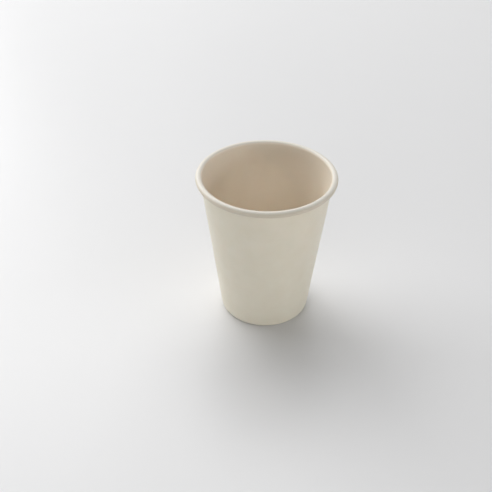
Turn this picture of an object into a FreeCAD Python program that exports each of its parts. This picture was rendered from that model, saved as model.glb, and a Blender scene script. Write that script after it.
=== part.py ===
"""Reusable cup: one formed sheet with a rolled rim, a tapered wall, a rounded foot and a raised base."""

import FreeCAD, Part
import math
import os

import Sketcher

# The driving sizes, in millimetres and degrees: name, value, what it sets.
SIZES = [
    ("rim_diameter", 80.0, "across the rolled rim"),
    ("cup_height", 92.0, "from the table to the top of the rim"),
    ("foot_diameter", 53.5, "across the outer bends of the foot"),
    ("wall_thickness", 1.1, "of the sheet, the same in the rim, wall and base"),
    ("roll_hollow", 1.5, "inside diameter of the rolled rim"),
    ("curl_gap", 0.4, "clear gap between the edge of the curl and the wall"),
    ("foot_bend", 1.4, "inside radius of the two bends of the foot"),
    ("foot_land", 1.0, "width of the flat ring that stands on the table"),
    ("base_rise", 4.5, "from the table to the underside of the base panel"),
    ("riser_draft", 12.0, "lean from upright of the riser between foot and base panel"),
    ("panel_bend", 0.8, "inside radius of the bend between riser and base panel"),
]
VALUE = {name: value for name, value, _ in SIZES}

# The sketcher's numbers for an edge's start, end and centre, and for its own two axes.
START, END, CENTRE = range(1, 4)
HORIZONTAL_AXIS, VERTICAL_AXIS = range(-1, -3, -1)


def make_sheet(doc):
    """The spreadsheet that holds the driving sizes."""
    sheet = doc.addObject("Spreadsheet::Sheet", "Sizes")
    for row, (name, value, purpose) in enumerate(SIZES, start=1):
        sheet.set(f"A{row}", name)
        sheet.set(f"B{row}", str(value))
        sheet.set(f"C{row}", purpose)
        sheet.setAlias(f"B{row}", name)
    doc.recompute()
    return sheet


def vector_at(angle, length):
    """A vector of the section plane, from its angle to the horizontal and its length."""
    return FreeCAD.Vector(length * math.cos(angle), length * math.sin(angle), 0)


def bend_centres():
    """The centres of the roll, of the foot's outer and inner bend (heel, toe) and of the panel bend."""
    roll_radius = VALUE["roll_hollow"] / 2 + VALUE["wall_thickness"]
    foot_radius = VALUE["foot_bend"] + VALUE["wall_thickness"]
    roll = FreeCAD.Vector(VALUE["rim_diameter"] / 2 - roll_radius, VALUE["cup_height"] - roll_radius, 0)
    heel = FreeCAD.Vector(VALUE["foot_diameter"] / 2 - foot_radius, foot_radius, 0)
    toe = heel - FreeCAD.Vector(VALUE["foot_land"], 0, 0)

    # The riser touches the toe on one side and the panel bend on the other: it spans both radii.
    draft = math.radians(VALUE["riser_draft"])
    span = foot_radius + VALUE["panel_bend"]
    rise = VALUE["base_rise"] - VALUE["panel_bend"] - toe.y
    straight = (rise + span * math.sin(draft)) / math.cos(draft)
    panel = toe - vector_at(draft, span) + vector_at(draft + math.pi / 2, straight)
    return roll, heel, toe, panel


def wall_lean(roll, heel):
    """The lean from upright of a wall whose outside touches the heel and the roll's hollow."""
    centres = roll - heel
    span = VALUE["roll_hollow"] / 2 + VALUE["foot_bend"] + VALUE["wall_thickness"]
    return math.atan2(centres.x, centres.y) - math.asin(span / centres.Length)


def add_line(sketch, start, end):
    """Adds a straight edge and gives its number."""
    return sketch.addGeometry(Part.LineSegment(start, end), False)


def add_arc(sketch, centre, radius, first, last):
    """Adds an arc that runs counter-clockwise between two angles and gives its number."""
    circle = Part.Circle(centre, FreeCAD.Vector(0, 0, 1), radius)
    return sketch.addGeometry(Part.ArcOfCircle(circle, first, last), False)


def curl_angle(lean):
    """The angle about the roll's centre at which the curl's edge has its gap to the wall."""
    thick, hollow = VALUE["wall_thickness"], VALUE["roll_hollow"]
    return -math.acos((2 * VALUE["curl_gap"] + thick - hollow) / (hollow + thick)) - lean


def draw_section(sketch):
    """Draws the sheet's section to the right of the axis, already at its sizes."""
    thick = VALUE["wall_thickness"]
    hollow = VALUE["roll_hollow"] / 2
    roll, heel, toe, panel = bend_centres()
    lean = wall_lean(roll, heel)
    draft = math.radians(VALUE["riser_draft"])
    up, down, left = math.pi / 2, -math.pi / 2, math.pi
    curl_end = curl_angle(lean)
    edge_centre = roll + vector_at(curl_end, hollow + thick / 2)

    edges = {}
    for side, roll_radius, foot_radius, panel_radius in [
        ("under", hollow, VALUE["foot_bend"] + thick, VALUE["panel_bend"]),
        ("inner", hollow + thick, VALUE["foot_bend"], VALUE["panel_bend"] + thick),
    ]:
        panel_top = panel + vector_at(up, panel_radius)
        riser_top = panel + vector_at(draft, panel_radius)
        riser_foot = toe + vector_at(draft + left, foot_radius)
        wall_foot = heel + vector_at(-lean, foot_radius)
        wall_top = roll + vector_at(left - lean, roll_radius)
        axis_point = FreeCAD.Vector(0, panel_top.y, 0)
        toe_point = toe + vector_at(down, foot_radius)
        heel_point = heel + vector_at(down, foot_radius)
        edges[side] = {
            "panel": add_line(sketch, axis_point, panel_top),
            "panel_bend": add_arc(sketch, panel, panel_radius, draft, up),
            "riser": add_line(sketch, riser_foot, riser_top),
            "toe": add_arc(sketch, toe, foot_radius, draft + left, down + 2 * math.pi),
            "land": add_line(sketch, toe_point, heel_point),
            "heel": add_arc(sketch, heel, foot_radius, down, -lean),
            "wall": add_line(sketch, wall_foot, wall_top),
            "roll": add_arc(sketch, roll, roll_radius, curl_end, left - lean),
        }
    edges["curl_edge"] = add_arc(sketch, edge_centre, thick / 2, curl_end - left, curl_end)
    bottom = sketch.getPoint(edges["under"]["panel"], START)
    edges["axis"] = add_line(sketch, bottom, bottom + FreeCAD.Vector(0, thick, 0))
    return edges


def tie_ends(sketch, kind, first, second):
    """Ties two edges at the ends where they meet."""
    pairs = [(a, b) for a in (START, END) for b in (START, END)]

    def apart(pair):
        return sketch.getPoint(first, pair[0]).distanceToPoint(sketch.getPoint(second, pair[1]))

    ends = min(pairs, key=apart)
    sketch.addConstraint(Sketcher.Constraint(kind, first, ends[0], second, ends[1]))


def tie_section(sketch, edges):
    """Ties the edges into one closed outline: a sheet of even thickness that turns about shared centres."""
    under, inner = edges["under"], edges["inner"]
    order = ["panel", "panel_bend", "riser", "toe", "land", "heel", "wall", "roll"]
    for side in (under, inner):
        for first, second in zip(order, order[1:]):
            tie_ends(sketch, "Tangent", side[first], side[second])
        tie_ends(sketch, "Tangent", side["roll"], edges["curl_edge"])
        tie_ends(sketch, "Coincident", side["panel"], edges["axis"])
        sketch.addConstraint(Sketcher.Constraint("Horizontal", side["panel"]))
        sketch.addConstraint(Sketcher.Constraint("Horizontal", side["land"]))
    for bend in ("panel_bend", "toe", "heel", "roll"):
        sketch.addConstraint(Sketcher.Constraint("Coincident", under[bend], CENTRE, inner[bend], CENTRE))
    for end in (START, END):
        sketch.addConstraint(Sketcher.Constraint("PointOnObject", edges["axis"], end, VERTICAL_AXIS))
    sketch.addConstraint(Sketcher.Constraint("PointOnObject", under["land"], START, HORIZONTAL_AXIS))
    sketch.addConstraint(Sketcher.Constraint("Equal", under["heel"], under["toe"]))


def size_section(sketch, edges):
    """Adds the dimensions, each bound to the spreadsheet."""
    under, inner = edges["under"], edges["inner"]
    origin = (HORIZONTAL_AXIS, START)
    dimensions = [
        ("roll_across", "DistanceX", (*origin, under["roll"], CENTRE),
         "Sizes.rim_diameter / 2 - Sizes.roll_hollow / 2 - Sizes.wall_thickness"),
        ("roll_height", "DistanceY", (*origin, under["roll"], CENTRE),
         "Sizes.cup_height - Sizes.roll_hollow / 2 - Sizes.wall_thickness"),
        ("roll_inside", "Radius", (under["roll"],), "Sizes.roll_hollow / 2"),
        ("roll_outside", "Radius", (inner["roll"],), "Sizes.roll_hollow / 2 + Sizes.wall_thickness"),
        ("curl_turn", "Angle", (under["roll"],),
         "180 deg + acos((2 * Sizes.curl_gap + Sizes.wall_thickness - Sizes.roll_hollow)"
         " / (Sizes.roll_hollow + Sizes.wall_thickness))"),
        ("heel_across", "DistanceX", (*origin, under["heel"], CENTRE),
         "Sizes.foot_diameter / 2 - Sizes.foot_bend - Sizes.wall_thickness"),
        ("heel_inside", "Radius", (inner["heel"],), "Sizes.foot_bend"),
        ("heel_outside", "Radius", (under["heel"],), "Sizes.foot_bend + Sizes.wall_thickness"),
        ("land_width", "DistanceX", (under["land"], START, under["land"], END), "Sizes.foot_land"),
        ("riser_lean", "Angle", (under["riser"],), "90 deg + Sizes.riser_draft * 1 deg"),
        ("panel_height", "DistanceY", (*origin, under["panel"], START), "Sizes.base_rise"),
        ("panel_inside", "Radius", (under["panel_bend"],), "Sizes.panel_bend"),
        ("panel_outside", "Radius", (inner["panel_bend"],), "Sizes.panel_bend + Sizes.wall_thickness"),
    ]
    for name, kind, places, formula in dimensions:
        value = sketch.evalExpression(formula)
        index = sketch.addConstraint(Sketcher.Constraint(kind, *places, value))
        sketch.renameConstraint(index, name)
        sketch.setExpression(f"Constraints.{name}", formula)


def origin_plane(body, role):
    """The body's own origin plane of that role."""
    return next(feature for feature in body.Origin.OriginFeatures if feature.Role == role)


def make_cup(doc):
    """The cup: its section turned once about the upright axis."""
    body = doc.addObject("PartDesign::Body", "CupBody")
    body.Label = "cup"
    sketch = body.newObject("Sketcher::SketchObject", "CupSection")
    sketch.AttachmentSupport = (origin_plane(body, "XZ_Plane"), "")
    sketch.MapMode = "FlatFace"
    edges = draw_section(sketch)
    tie_section(sketch, edges)
    size_section(sketch, edges)
    doc.recompute()
    turn = body.newObject("PartDesign::Revolution", "CupTurn")
    turn.Profile = sketch
    turn.ReferenceAxis = (sketch, ["V_Axis"])
    turn.Angle = 360
    sketch.Visibility = False
    return body


def check(doc):
    """Stops with a plain message if an object of the document failed or is empty."""
    for item in doc.Objects:
        if "Invalid" in item.State or "Error" in item.State:
            raise RuntimeError(f"{item.Label} did not build: {item.State}")
        if not item.isDerivedFrom("PartDesign::Feature") and not item.isDerivedFrom("PartDesign::Body"):
            continue
        if item.Shape.isNull() or not item.Shape.isValid():
            raise RuntimeError(f"{item.Label} has no sound shape")
        if len(item.Shape.Solids) != 1:
            raise RuntimeError(f"{item.Label} is not one solid")


def main():
    """Builds the document and writes the cup to its own file."""
    doc = FreeCAD.newDocument("ReusableCup")
    make_sheet(doc)
    cup = make_cup(doc)
    doc.recompute()
    check(doc)
    os.makedirs("parts", exist_ok=True)
    cup.Shape.exportStep(os.path.join("parts", f"{cup.Label}.step"))


main()
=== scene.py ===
"""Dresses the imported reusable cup: its formed sheet, its matte finish, and the stage that shows it."""

import math

import bpy
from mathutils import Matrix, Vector, noise


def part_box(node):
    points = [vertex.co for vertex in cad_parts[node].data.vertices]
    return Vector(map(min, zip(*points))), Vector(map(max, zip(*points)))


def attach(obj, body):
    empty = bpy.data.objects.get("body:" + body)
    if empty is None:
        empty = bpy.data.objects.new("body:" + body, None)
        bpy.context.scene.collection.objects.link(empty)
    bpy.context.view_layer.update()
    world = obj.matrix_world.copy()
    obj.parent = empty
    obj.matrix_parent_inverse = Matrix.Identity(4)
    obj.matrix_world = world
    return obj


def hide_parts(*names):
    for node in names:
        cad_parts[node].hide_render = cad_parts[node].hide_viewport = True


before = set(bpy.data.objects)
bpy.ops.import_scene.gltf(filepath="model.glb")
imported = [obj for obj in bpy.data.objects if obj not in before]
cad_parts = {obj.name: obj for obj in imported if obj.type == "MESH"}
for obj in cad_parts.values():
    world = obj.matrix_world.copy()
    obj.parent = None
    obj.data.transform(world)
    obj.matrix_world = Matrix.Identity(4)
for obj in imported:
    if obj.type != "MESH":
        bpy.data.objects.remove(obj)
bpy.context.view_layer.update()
cup_low, cup_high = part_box("cup")

bl_info = {
    "name": "Reusable cup",
    "version": (1, 0, 0),
    "blender": (4, 5, 0),
    "location": "3D View > Sidebar > Cup",
    "description": "Forms a cup from one sheet, finishes it and sets it on a plain stage",
    "category": "Object",
}

MM = 0.001
UP, DOWN, LEFT = math.pi / 2, -math.pi / 2, math.pi

# How many short stretches each part of the section is divided into.
STEPS = {
    "base": 12, "panel": 8, "riser": 2, "toe": 7, "land": 2, "heel": 8, "wall": 44, "roll": 30, "edge": 8,
}

# The waves by which a formed cup strays: share of the drift, waves round the cup, and turn in radians.
OUTWARD_WAVES = ((0.7, 2, 0.6), (0.2, 3, -1.1))
UPWARD_WAVES = ((0.25, 2, -0.9), (0.12, 5, 0))
# How fast the drift grows towards the rim, outward and upward, as powers of the height's share.
OUTWARD_GROWTH, UPWARD_GROWTH = 2, 4
# The unevenness between the waves: its share of the drift, and how fine it is round the cup and up it.
UNEVEN_SHARE, UNEVEN_ROUND, UNEVEN_UP = 0.1, 2.2, 3

# The painted highlight along the top of the rim, as shares of the roll from the curl's edge to the wall: its
# start, its end, where the rim's painted shade ends too, and how softly it begins and ends.
CREST_START, CREST_END, CREST_FADE = 0.55, 0.8, 0.1
# How softly the rim's painted shade and the inside's painted warm light end, as a share of the whole
# section.
RIM_FADE = 0.003
# The worn foot: its height above the table, and how far it fades out above that.
WORN_HEIGHT, WORN_FADE = 0.1 * MM, 0.8 * MM
# How strongly the flecks and the worn foot tint the sheet.
FLECK_STRENGTH, WORN_STRENGTH = 0.35, 0.5

# What the sheet's colour is multiplied by for its pale and warm mottle, its flecks and its worn foot.
PALE, WARM = (1.03, 1.03, 1.03), (0.965, 0.95, 0.91)
FLECKED, SCUFFED = (0.74, 0.68, 0.58), (0.86, 0.86, 0.88)
# What the floor's colour is multiplied by where it is darkest.
FLOOR_SHADE = (0.985, 0.985, 0.985)

# The mottle between these two values spreads the roughness by this much to either side.
MOTTLE_LOW, MOTTLE_HIGH, ROUGHNESS_SPREAD = 0.3, 0.7, 0.04
# The grain: how many times larger its coarse part is, and the shares of its fine and coarse parts.
COARSE_GRAIN, FINE_SHARE, COARSE_SHARE = 4.0, 0.6, 0.4
# The flecks: how far from its cell's middle a fleck ends and is full, and the share of cells without one.
FLECK_EDGE, FLECK_CORE, PLAIN_CELLS = 0.32, 0.12, 0.93

# The sockets of a Mix node that mixes colours: its factor, its two colours and its result.
MIX_FACTOR, MIX_BASE, MIX_TINT, MIX_RESULT = 0, 6, 7, 2

# The lamps: name, bearing from the back round to the left and elevation in degrees, width and depth in m.
LAMPS = (
    ("window", 51, 32, 2.2, 1.8),
    ("corner", 28, 45, 1.8, 1.8),
    ("ceiling", 5, 58, 2.2, 1.5),
    ("front", 182, 45, 2.9, 1.5),
    ("low_front", 145, 3, 1.8, 0.18),
    ("side", 255, 9, 1.65, 0.6),
)
# From the cup's middle to each lamp, and from the cup's axis to each edge of the floor, in metres.
LAMP_REACH, FLOOR_REACH = 2.2, 3.0
# The width of the camera's film in millimetres.
FILM_WIDTH = 36


# ---------------------------------------------------------------- sizes and colours


class CupSizes(bpy.types.PropertyGroup):
    """The cup's own sizes."""

    rim_diameter: bpy.props.FloatProperty(
        name="Rim", description="Across the rolled rim", unit="LENGTH", precision=4,
        default=round(cup_high.x - cup_low.x, 4))
    cup_height: bpy.props.FloatProperty(
        name="Height", description="From the table to the top of the rim", unit="LENGTH", precision=4,
        default=round(cup_high.z - cup_low.z, 4))
    foot_diameter: bpy.props.FloatProperty(
        name="Foot", description="Across the outer bends of the foot", unit="LENGTH", precision=4,
        default=53.5 * MM)
    wall_thickness: bpy.props.FloatProperty(
        name="Sheet", description="Thickness of the sheet", unit="LENGTH", precision=4, default=1.1 * MM)
    roll_hollow: bpy.props.FloatProperty(
        name="Roll hollow", description="Inside diameter of the rolled rim", unit="LENGTH", precision=4,
        default=1.5 * MM)
    curl_gap: bpy.props.FloatProperty(
        name="Curl gap", description="Gap between the curl's edge and the wall", unit="LENGTH", precision=4,
        default=0.4 * MM)
    foot_bend: bpy.props.FloatProperty(
        name="Foot bend", description="Inside radius of the foot's bends", unit="LENGTH", precision=4,
        default=1.4 * MM)
    foot_land: bpy.props.FloatProperty(
        name="Foot land", description="Width of the ring that stands on the table", unit="LENGTH",
        precision=4, default=1.0 * MM)
    base_rise: bpy.props.FloatProperty(
        name="Base rise", description="From the table to the base panel's underside", unit="LENGTH",
        precision=4, default=4.5 * MM)
    riser_draft: bpy.props.FloatProperty(
        name="Riser draft", description="Lean of the riser between foot and base panel", subtype="ANGLE",
        default=math.radians(12))
    panel_bend: bpy.props.FloatProperty(
        name="Panel bend", description="Inside radius of the bend round the base panel", unit="LENGTH",
        precision=4, default=0.8 * MM)
    drift: bpy.props.FloatProperty(
        name="Forming drift", description="How far the rim strays from a true circle", unit="LENGTH",
        precision=5, default=0.12 * MM)
    segments: bpy.props.IntProperty(
        name="Segments", description="Faces round the cup", min=24, default=240)


class SheetFinish(bpy.types.PropertyGroup):
    """The matte finish of the sheet."""

    colour: bpy.props.FloatVectorProperty(
        name="Outside", description="The sheet's cream colour outside", subtype="COLOR", size=4,
        min=0, max=1, default=(0.83, 0.785, 0.665, 1))
    # Painted warm light: the inside's warmer cream stands in for the warm glow of light inside the cup.
    inside_glow_colour: bpy.props.FloatVectorProperty(
        name="Inside", description="The warmer cream of the inside", subtype="COLOR", size=4, min=0, max=1,
        default=(0.85, 0.77, 0.655, 1))
    # Painted shade: the rim's deeper cream darkens the roll's outer, lower half, standing in for the shade
    # under the roll.
    rim_shade_colour: bpy.props.FloatVectorProperty(
        name="Rim", description="The deeper cream of the rim's outer half", subtype="COLOR", size=4,
        min=0, max=1, default=(0.70, 0.635, 0.52, 1))
    # Painted highlight: the paler cream on top of the rim stands in for the sheen of light along its crest.
    crest_highlight_colour: bpy.props.FloatVectorProperty(
        name="Crest", description="The paler cream on top of the rim", subtype="COLOR", size=4,
        min=0, max=1, default=(0.745, 0.705, 0.63, 1))
    roughness: bpy.props.FloatProperty(
        name="Roughness", description="Roughness of the wall", subtype="FACTOR", min=0, max=1, default=0.42)
    rim_roughness: bpy.props.FloatProperty(
        name="Rim roughness", description="Roughness of the rim, which is a little smoother",
        subtype="FACTOR", min=0, max=1, default=0.38)
    grain: bpy.props.FloatProperty(
        name="Grain depth", description="Depth of the moulded grain", unit="LENGTH", precision=6,
        default=0.012 * MM)


class StageSettings(bpy.types.PropertyGroup):
    """The floor, lamps and camera."""

    floor_colour: bpy.props.FloatVectorProperty(
        name="Floor", description="The floor's pale grey", subtype="COLOR", size=4, min=0, max=1,
        default=(0.752, 0.752, 0.757, 1))
    window_power: bpy.props.FloatProperty(
        name="Window lamp", description="Power of the big lamp behind and to the left, in watts", min=0,
        default=31.5)
    corner_power: bpy.props.FloatProperty(
        name="Corner lamp", description="Power of the lamp between the window's and the ceiling's, in watts",
        min=0, default=9.4)
    ceiling_power: bpy.props.FloatProperty(
        name="Ceiling lamp", description="Power of the wide lamp high behind the cup, in watts", min=0,
        default=21.2)
    front_power: bpy.props.FloatProperty(
        name="Front lamp", description="Power of the wide lamp high in front of the cup, in watts", min=0,
        default=12.2)
    low_front_power: bpy.props.FloatProperty(
        name="Low front lamp", description="Power of the low lamp in front and to the left, in watts", min=0,
        default=5.8)
    side_power: bpy.props.FloatProperty(
        name="Side lamp", description="Power of the low lamp on the right, in watts", min=0, default=12.4)
    sky: bpy.props.FloatProperty(
        name="Sky", description="Strength of the even light all round", min=0, default=0.036)
    backdrop: bpy.props.FloatProperty(
        name="Backdrop", description="Strength of the sky where it is seen or mirrored", min=0, max=1,
        default=0.85)
    camera_lens: bpy.props.FloatProperty(
        name="Lens", description="Focal length in millimetres", min=1, default=54.9)
    camera_distance: bpy.props.FloatProperty(
        name="Distance", description="From the camera to the point it looks at", unit="LENGTH", precision=4,
        default=0.4506)
    camera_height: bpy.props.FloatProperty(
        name="Elevation", description="Angle at which the camera looks down", subtype="ANGLE",
        default=math.radians(36.87))
    aim_height: bpy.props.FloatProperty(
        name="Aim height", description="Height of the point looked at, on the cup's axis", unit="LENGTH",
        precision=4, default=41.3 * MM)
    aim_aside: bpy.props.FloatProperty(
        name="Aim aside", description="How far left of the cup's axis the camera looks", unit="LENGTH",
        precision=4, default=11.6 * MM)


# ---------------------------------------------------------------- the sheet's section


def polar(angle, length):
    """A vector of the section plane, from its angle to the horizontal and its length."""
    return Vector((length * math.cos(angle), length * math.sin(angle)))


def straight(start, end, steps):
    """Points along a straight stretch, closer together near its ends, without its last one."""
    return [start.lerp(end, (1 - math.cos(math.pi * i / steps)) / 2) for i in range(steps)]


def bend(centre, radius, first, last, steps):
    """Points along a bend, without its last one."""
    return [centre + polar(first + (last - first) * i / steps, radius) for i in range(steps)]


def bend_centres(size):
    """The centres of the roll, of the foot's outer and inner bend (heel, toe) and of the panel bend."""
    roll_radius = size.roll_hollow / 2 + size.wall_thickness
    foot_radius = size.foot_bend + size.wall_thickness
    roll = Vector((size.rim_diameter / 2 - roll_radius, size.cup_height - roll_radius))
    heel = Vector((size.foot_diameter / 2 - foot_radius, foot_radius))
    toe = heel - Vector((size.foot_land, 0))
    span = foot_radius + size.panel_bend
    rise = size.base_rise - size.panel_bend - toe.y
    riser = (rise + span * math.sin(size.riser_draft)) / math.cos(size.riser_draft)
    panel = toe - polar(size.riser_draft, span) + polar(size.riser_draft + UP, riser)
    return roll, heel, toe, panel


def sheet_side(size, lean, curl_end, roll_radius, foot_radius, panel_radius):
    """One side of the sheet, as points from the base's centre out, up the wall and round the roll."""
    roll, heel, toe, panel = bend_centres(size)
    draft = size.riser_draft
    top = panel + polar(UP, panel_radius)
    centre = Vector((0, top.y))
    riser_top = panel + polar(draft, panel_radius)
    riser_foot = toe + polar(draft + LEFT, foot_radius)
    wall_foot = heel + polar(-lean, foot_radius)
    wall_top = roll + polar(LEFT - lean, roll_radius)
    return (
        straight(centre, top, STEPS["base"])
        + bend(panel, panel_radius, UP, draft, STEPS["panel"])
        + straight(riser_top, riser_foot, STEPS["riser"])
        + bend(toe, foot_radius, draft + LEFT, DOWN + 2 * math.pi, STEPS["toe"])
        + straight(toe + polar(DOWN, foot_radius), heel + polar(DOWN, foot_radius), STEPS["land"])
        + bend(heel, foot_radius, DOWN, -lean, STEPS["heel"])
        + straight(wall_foot, wall_top, STEPS["wall"])
        + bend(roll, roll_radius, LEFT - lean, curl_end, STEPS["roll"])
        + [roll + polar(curl_end, roll_radius)]
    )


def sheet_outline(size):
    """The sheet's section, from the middle of the underside over the rim to the middle of the inside.

    With it come the numbers of its points at the curl's edge and where the roll meets the inside.
    """
    roll, heel, toe, panel = bend_centres(size)
    thick, hollow = size.wall_thickness, size.roll_hollow
    between = roll - heel
    span = hollow / 2 + size.foot_bend + thick
    lean = math.atan2(between.x, between.y) - math.asin(span / between.length)
    curl_end = -math.acos((2 * size.curl_gap + thick - hollow) / (hollow + thick)) - lean
    under = sheet_side(size, lean, curl_end, hollow / 2, size.foot_bend + thick, size.panel_bend)
    inner = sheet_side(size, lean, curl_end, hollow / 2 + thick, size.foot_bend, size.panel_bend + thick)
    edge_centre = roll + polar(curl_end, (hollow + thick) / 2)
    edge = bend(edge_centre, thick / 2, curl_end - LEFT, curl_end, STEPS["edge"])
    curl_edge = len(under) + len(edge) - 1
    return under + edge[1:] + inner[::-1], curl_edge, curl_edge + STEPS["roll"]


def shares(outline):
    """How far along the section each of its points lies, from 0 to 1."""
    lengths = [0.0]
    for before, after in zip(outline, outline[1:]):
        lengths.append(lengths[-1] + (after - before).length)
    return [length / lengths[-1] for length in lengths]


def forming_drift(size, angle, height):
    """How far the sheet strays outward and upward at a place, as no formed cup is quite true.

    It is mostly an oval, with weaker waves and a little unevenness, and grows towards the rim.
    """
    share = height / size.cup_height
    spot = Vector((UNEVEN_ROUND * math.cos(angle), UNEVEN_ROUND * math.sin(angle), UNEVEN_UP * share))
    outward = sum(part * math.cos(waves * angle + turn) for part, waves, turn in OUTWARD_WAVES)
    outward += UNEVEN_SHARE * noise.noise(spot)
    upward = sum(part * math.cos(waves * angle + turn) for part, waves, turn in UPWARD_WAVES)
    return size.drift * share ** OUTWARD_GROWTH * outward, size.drift * share ** UPWARD_GROWTH * upward


def turn_outline(name, size, outline):
    """A mesh made by turning the section once about the upright axis, closed at both middles.

    Its flat layout has U running round the cup and V along the section.
    """
    count, along = size.segments, shares(outline)
    verts, faces, layout = [], [], []
    for point in outline[1:-1]:
        for step in range(count):
            angle = 2 * math.pi * step / count
            outward, upward = forming_drift(size, angle, point.y)
            radius = point.x + outward
            verts.append((radius * math.cos(angle), radius * math.sin(angle), point.y + upward))
    verts += [(0, 0, outline[0].y), (0, 0, outline[-1].y)]
    under, inside = len(verts) - 2, len(verts) - 1
    last = under - count

    def add_face(corners, places):
        """Adds a face and the places of its corners in the flat layout."""
        faces.append(corners)
        layout.extend(places)

    for step in range(count):
        after, left, right = (step + 1) % count, step / count, (step + 1) / count
        middle = (left + right) / 2
        add_face((after, step, under), ((right, along[1]), (left, along[1]), (middle, along[0])))
        add_face((last + step, last + after, inside),
                 ((left, along[-2]), (right, along[-2]), (middle, along[-1])))
        for ring in range(len(outline) - 3):
            low, high = ring * count, (ring + 1) * count
            near, far = along[ring + 1], along[ring + 2]
            add_face((low + step, low + after, high + after, high + step),
                     ((left, near), (right, near), (right, far), (left, far)))
    mesh = bpy.data.meshes.new(name)
    mesh.from_pydata(verts, [], faces)
    mesh.shade_smooth()
    layer = mesh.uv_layers.new(name="Section")
    layer.data.foreach_set("uv", [value for place in layout for value in place])
    return mesh


# ---------------------------------------------------------------- shader node groups


def new_group(name, inputs, outputs):
    """A shader node group with named sockets, and the nodes that hold them inside it."""
    group = bpy.data.node_groups.new(name, "ShaderNodeTree")
    for socket, kind, value in inputs:
        made = group.interface.new_socket(socket, in_out="INPUT", socket_type=kind)
        if value is not None:
            made.default_value = value
    for socket, kind in outputs:
        group.interface.new_socket(socket, in_out="OUTPUT", socket_type=kind)
    return group, group.nodes.new("NodeGroupInput"), group.nodes.new("NodeGroupOutput")


def add_node(tree, kind, links=None, **values):
    """Adds a node, sets its own settings, and links or sets its inputs by name or number."""
    node = tree.nodes.new(kind)
    for name, value in values.items():
        setattr(node, name, value)
    for socket, source in (links or {}).items():
        if isinstance(source, bpy.types.NodeSocket):
            tree.links.new(source, node.inputs[socket])
        else:
            node.inputs[socket].default_value = source
    return node


def math_node(tree, operation, first, second, clamp=False):
    """The output of one calculation with two values."""
    node = add_node(tree, "ShaderNodeMath", {0: first, 1: second}, operation=operation, use_clamp=clamp)
    return node.outputs[0]


def grain_group():
    """Fine moulded grain, slow mottle and sparse flecks, all at real scale."""
    group, given, out = new_group(
        "Moulded grain",
        [("Vector", "NodeSocketVector", None), ("Grain size", "NodeSocketFloat", 0.35 * MM),
         ("Mottle size", "NodeSocketFloat", 9 * MM), ("Fleck size", "NodeSocketFloat", 0.5 * MM)],
        [("Height", "NodeSocketFloat"), ("Mottle", "NodeSocketFloat"), ("Flecks", "NodeSocketFloat")])

    def field(size, detail, roughness):
        """Soft noise whose features have a real size."""
        scale = math_node(group, "DIVIDE", 1.0, size)
        links = {"Vector": given.outputs["Vector"], "Scale": scale, "Detail": detail, "Roughness": roughness}
        return add_node(group, "ShaderNodeTexNoise", links).outputs["Fac"]

    coarse_size = math_node(group, "MULTIPLY", given.outputs["Grain size"], COARSE_GRAIN)
    fine = field(given.outputs["Grain size"], detail=3.0, roughness=0.6)
    coarse = field(coarse_size, detail=2.0, roughness=0.5)
    fine_part = math_node(group, "MULTIPLY", fine, FINE_SHARE)
    coarse_part = math_node(group, "MULTIPLY", coarse, COARSE_SHARE)
    group.links.new(math_node(group, "ADD", fine_part, coarse_part), out.inputs["Height"])

    slow = field(given.outputs["Mottle size"], detail=3.0, roughness=0.55)
    group.links.new(slow, out.inputs["Mottle"])

    cell_scale = math_node(group, "DIVIDE", 1.0, given.outputs["Fleck size"])
    cells = add_node(group, "ShaderNodeTexVoronoi", {"Vector": given.outputs["Vector"], "Scale": cell_scale})
    limits = {"From Min": FLECK_EDGE, "From Max": FLECK_CORE, "To Min": 0.0, "To Max": 1.0}
    core = add_node(group, "ShaderNodeMapRange", {"Value": cells.outputs["Distance"], **limits},
                    interpolation_type="SMOOTHSTEP")
    chance = add_node(group, "ShaderNodeSeparateColor", {"Color": cells.outputs["Color"]})
    chosen = math_node(group, "GREATER_THAN", chance.outputs[0], PLAIN_CELLS)
    group.links.new(math_node(group, "MULTIPLY", core.outputs[0], chosen), out.inputs["Flecks"])
    return group


def soft_band_group():
    """A mask that is 1 where a value lies between two limits and fades out beyond them."""
    group, given, out = new_group(
        "Soft band",
        [("Value", "NodeSocketFloat", 0.0), ("Low", "NodeSocketFloat", 0.0),
         ("High", "NodeSocketFloat", 1.0), ("Fade", "NodeSocketFloat", 1 * MM)],
        [("Mask", "NodeSocketFloat")])
    value = given.outputs["Value"]
    above = math_node(group, "SUBTRACT", value, given.outputs["Low"])
    below = math_node(group, "SUBTRACT", given.outputs["High"], value)
    inside = math_node(group, "MINIMUM", above, below)
    faded = math_node(group, "DIVIDE", inside, given.outputs["Fade"])
    group.links.new(math_node(group, "ADD", faded, 1.0, clamp=True), out.inputs["Mask"])
    return group


# ---------------------------------------------------------------- materials


def new_material(name):
    """A node material with only its shader and output."""
    material = bpy.data.materials.new(name)
    material.use_nodes = True
    tree = material.node_tree
    return material, tree, tree.nodes["Principled BSDF"]


def shaded(colour, shade):
    """A colour multiplied by a shade, channel by channel, and never brighter than white."""
    return tuple(min(1, c * part) for c, part in zip(colour, shade)) + (1,)


def tinted(tree, base, tint, factor):
    """The base colour shifted towards a tint."""
    sockets = {MIX_FACTOR: factor, MIX_BASE: base, MIX_TINT: tint}
    node = add_node(tree, "ShaderNodeMix", sockets, data_type="RGBA", blend_type="MIX")
    return node.outputs[MIX_RESULT]


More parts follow.
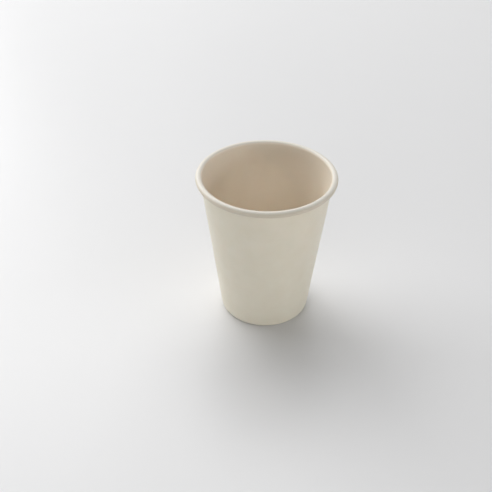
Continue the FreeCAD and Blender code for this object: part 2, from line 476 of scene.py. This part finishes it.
def sheet_material(finish, marks, grain, band):
    """Cream sheet with a fine grain, faint mottle and flecks.

    Its inside is warmer, as painted warm light, its rim's outer half is deeper, as painted shade, with a
    painted highlight of paler cream along its crest, and its foot is a little worn. The marks are how far
    along the section the curl's edge, the roll's end and the section's end lie.
    """
    material, tree, shader = new_material("matte_cream_sheet")
    place = add_node(tree, "ShaderNodeTexCoord").outputs["Object"]
    height = add_node(tree, "ShaderNodeSeparateXYZ", {0: place}).outputs["Z"]
    layout = add_node(tree, "ShaderNodeUVMap", uv_map="Section").outputs["UV"]
    along = add_node(tree, "ShaderNodeSeparateXYZ", {0: layout}).outputs["Y"]
    texture = add_node(tree, "ShaderNodeGroup", {"Vector": place}, node_tree=grain).outputs

    def band_mask(value, low, high, fade):
        """The mask of one soft band."""
        limits = {"Value": value, "Low": low, "High": high, "Fade": fade}
        return add_node(tree, "ShaderNodeGroup", limits, node_tree=band).outputs["Mask"]

    curl_edge, roll_end, section_end = marks
    roll = roll_end - curl_edge
    rim_end = curl_edge + CREST_END * roll
    rim = band_mask(along, curl_edge, rim_end, RIM_FADE)
    # Painted highlight: this mask lays a paler cream along the top of the roll.
    crest = band_mask(along, curl_edge + CREST_START * roll, rim_end, CREST_FADE * roll)
    inside = band_mask(along, rim_end, section_end + 1, RIM_FADE)
    foot = band_mask(height, -1 * MM, WORN_HEIGHT, WORN_FADE)
    fleck_mask = math_node(tree, "MULTIPLY", texture["Flecks"], FLECK_STRENGTH)
    worn_mask = math_node(tree, "MULTIPLY", foot, WORN_STRENGTH)

    colour = finish.colour[:3]
    mottled = tinted(tree, shaded(colour, PALE), shaded(colour, WARM), texture["Mottle"])
    # Painted warm light: the inside is tinted warmer to stand in for the glow of light inside the cup.
    inside_glow = tinted(tree, mottled, tuple(finish.inside_glow_colour), inside)
    # Painted shade: the rim's outer half is darkened to stand in for the shade under the roll.
    rolled = tinted(tree, inside_glow, tuple(finish.rim_shade_colour), rim)
    # Painted highlight: the top of the roll is paled to stand in for the sheen along it.
    highlighted = tinted(tree, rolled, tuple(finish.crest_highlight_colour), crest)
    flecked = tinted(tree, highlighted, shaded(colour, FLECKED), fleck_mask)
    worn = tinted(tree, flecked, shaded(colour, SCUFFED), worn_mask)
    tree.links.new(worn, shader.inputs["Base Color"])

    spread = add_node(tree, "ShaderNodeMapRange", {
        "Value": texture["Mottle"], "From Min": MOTTLE_LOW, "From Max": MOTTLE_HIGH,
        "To Min": finish.roughness - ROUGHNESS_SPREAD, "To Max": finish.roughness + ROUGHNESS_SPREAD})
    drop = math_node(tree, "MULTIPLY", rim, finish.roughness - finish.rim_roughness)
    tree.links.new(math_node(tree, "SUBTRACT", spread.outputs[0], drop), shader.inputs["Roughness"])

    bump = add_node(tree, "ShaderNodeBump", {
        "Height": texture["Height"], "Strength": 1.0, "Distance": finish.grain})
    tree.links.new(bump.outputs[0], shader.inputs["Normal"])
    shader.inputs["Specular IOR Level"].default_value = 0.5
    shader.inputs["Subsurface Weight"].default_value = 0.15
    shader.inputs["Subsurface Radius"].default_value = (1.4 * MM, 1.0 * MM, 0.8 * MM)
    shader.inputs["Subsurface Scale"].default_value = 1.0
    return material


def floor_material(stage, grain):
    """Plain pale floor with a barely visible mottle, which isn't seen from below."""
    material, tree, shader = new_material("pale_floor")
    place = add_node(tree, "ShaderNodeTexCoord").outputs["Object"]
    settings = {"Vector": place, "Mottle size": 60 * MM}
    mottle = add_node(tree, "ShaderNodeGroup", settings, node_tree=grain).outputs["Mottle"]
    shade = shaded(stage.floor_colour[:3], FLOOR_SHADE)
    tree.links.new(tinted(tree, tuple(stage.floor_colour), shade, mottle), shader.inputs["Base Color"])
    shader.inputs["Roughness"].default_value = 0.35
    shader.inputs["Specular IOR Level"].default_value = 0.5
    clear = add_node(tree, "ShaderNodeBsdfTransparent")
    behind = add_node(tree, "ShaderNodeNewGeometry").outputs["Backfacing"]
    mix = add_node(tree, "ShaderNodeMixShader", {0: behind, 1: shader.outputs[0], 2: clear.outputs[0]})
    tree.links.new(mix.outputs[0], tree.nodes["Material Output"].inputs["Surface"])
    return material


# ---------------------------------------------------------------- building the object and the stage


def link_object(name, data):
    """Puts new data into the scene as an object."""
    made = bpy.data.objects.new(name, data)
    bpy.context.scene.collection.objects.link(made)
    return made


def shared_group(name, maker):
    """A node group that is built once and then used by every material that needs it."""
    return bpy.data.node_groups.get(name) or maker()


def form_cup(size, finish):
    """The cup, formed from one sheet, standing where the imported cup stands."""
    outline, curl_edge, roll_end = sheet_outline(size)
    mesh = turn_outline("formed_cup", size, outline)
    cup = link_object("formed_cup", mesh)
    grain = shared_group("Moulded grain", grain_group)
    band = shared_group("Soft band", soft_band_group)
    along = shares(outline)
    marks = (along[curl_edge], along[roll_end], along[-1])
    mesh.materials.append(sheet_material(finish, marks, grain, band))
    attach(cup, "root")
    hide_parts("cup")


def lay_floor(stage):
    """A plain floor, wide enough to fill the view."""
    corners = [(x * FLOOR_REACH, y * FLOOR_REACH, 0) for x, y in ((-1, -1), (1, -1), (1, 1), (-1, 1))]
    mesh = bpy.data.meshes.new("floor")
    mesh.from_pydata(corners, [], [(0, 1, 2, 3)])
    mesh.materials.append(floor_material(stage, shared_group("Moulded grain", grain_group)))
    floor = link_object("floor", mesh)


def aim(thing, target):
    """Turns an object so that it faces a point."""
    thing.rotation_euler = (target - thing.location).to_track_quat("-Z", "Y").to_euler()


def hang_lamp(name, bearing, elevation, power, width, depth):
    """A flat soft lamp that faces the cup from a bearing, counted from the back round to the left."""
    data = bpy.data.lights.new(name, "AREA")
    data.shape = "RECTANGLE"
    data.size, data.size_y = width, depth
    data.energy = power
    lamp = link_object(name, data)
    middle = Vector((0, 0, cup_high.z / 2))
    side, rise = math.radians(bearing), math.radians(elevation)
    towards = Vector((-math.sin(side) * math.cos(rise), math.cos(side) * math.cos(rise), math.sin(rise)))
    lamp.location = middle + LAMP_REACH * towards
    aim(lamp, middle)


def light_stage(stage):
    """Soft lamps all round, the strongest behind and to the left, under an even pale sky."""
    for name, bearing, elevation, width, depth in LAMPS:
        hang_lamp(f"{name}_lamp", bearing, elevation, getattr(stage, f"{name}_power"), width, depth)
    world = bpy.data.worlds.new("pale_sky")
    world.use_nodes = True
    tree = world.node_tree
    rays = add_node(tree, "ShaderNodeLightPath").outputs
    mirrored = math_node(tree, "MAXIMUM", rays["Is Glossy Ray"], rays["Is Transmission Ray"])
    seen = math_node(tree, "MAXIMUM", rays["Is Camera Ray"], mirrored)
    strength = add_node(tree, "ShaderNodeMapRange", {
        "Value": seen, "To Min": stage.sky, "To Max": stage.backdrop}).outputs[0]
    background = tree.nodes["Background"]
    background.inputs["Color"].default_value = (1, 1, 1, 1)
    tree.links.new(strength, background.inputs["Strength"])
    bpy.context.scene.world = world


def place_camera(stage):
    """The camera, looking down at the cup from the front."""
    data = bpy.data.cameras.new("camera")
    data.lens = stage.camera_lens
    data.sensor_width = FILM_WIDTH
    camera = link_object("camera", data)
    target = Vector((-stage.aim_aside, 0, stage.aim_height))
    angle = stage.camera_height
    camera.location = target + stage.camera_distance * Vector((0, -math.cos(angle), math.sin(angle)))
    aim(camera, target)
    bpy.context.scene.camera = camera


# ---------------------------------------------------------------- operators and panel


class CUP_OT_form_cup(bpy.types.Operator):
    """Form the cup from its sheet and give it its finish"""

    bl_idname = "cup.form_cup"
    bl_label = "Form cup"

    def execute(self, context):
        form_cup(context.scene.cup_sizes, context.scene.cup_finish)
        return {"FINISHED"}


class CUP_OT_set_stage(bpy.types.Operator):
    """Lay the floor, hang the lamps and place the camera"""

    bl_idname = "cup.set_stage"
    bl_label = "Set stage"

    def execute(self, context):
        stage = context.scene.cup_stage
        lay_floor(stage)
        light_stage(stage)
        place_camera(stage)
        context.scene.view_settings.view_transform = "Standard"
        return {"FINISHED"}


class CUP_PT_panel(bpy.types.Panel):
    """Lists the cup's sizes, finish and stage"""

    bl_idname = "CUP_PT_panel"
    bl_label = "Reusable cup"
    bl_space_type = "VIEW_3D"
    bl_region_type = "UI"
    bl_category = "Cup"

    def draw(self, context):
        scene = context.scene
        for group, operator in (
            (scene.cup_sizes, None), (scene.cup_finish, "cup.form_cup"), (scene.cup_stage, "cup.set_stage"),
        ):
            column = self.layout.column(align=True)
            for name in group.__annotations__:
                column.prop(group, name)
            if operator:
                self.layout.operator(operator)


CLASSES = (CupSizes, SheetFinish, StageSettings, CUP_OT_form_cup, CUP_OT_set_stage, CUP_PT_panel)


def register():
    """Registers the classes and puts the settings on the scene."""
    for cls in CLASSES:
        bpy.utils.register_class(cls)
    bpy.types.Scene.cup_sizes = bpy.props.PointerProperty(type=CupSizes)
    bpy.types.Scene.cup_finish = bpy.props.PointerProperty(type=SheetFinish)
    bpy.types.Scene.cup_stage = bpy.props.PointerProperty(type=StageSettings)


def unregister():
    """Takes the settings and the classes away again."""
    for name in ("cup_stage", "cup_finish", "cup_sizes"):
        delattr(bpy.types.Scene, name)
    for cls in reversed(CLASSES):
        bpy.utils.unregister_class(cls)


def main():
    """Builds the dressed cup on its stage."""
    register()
    bpy.ops.cup.form_cup()
    bpy.ops.cup.set_stage()


if __name__ == "__main__":
    main()
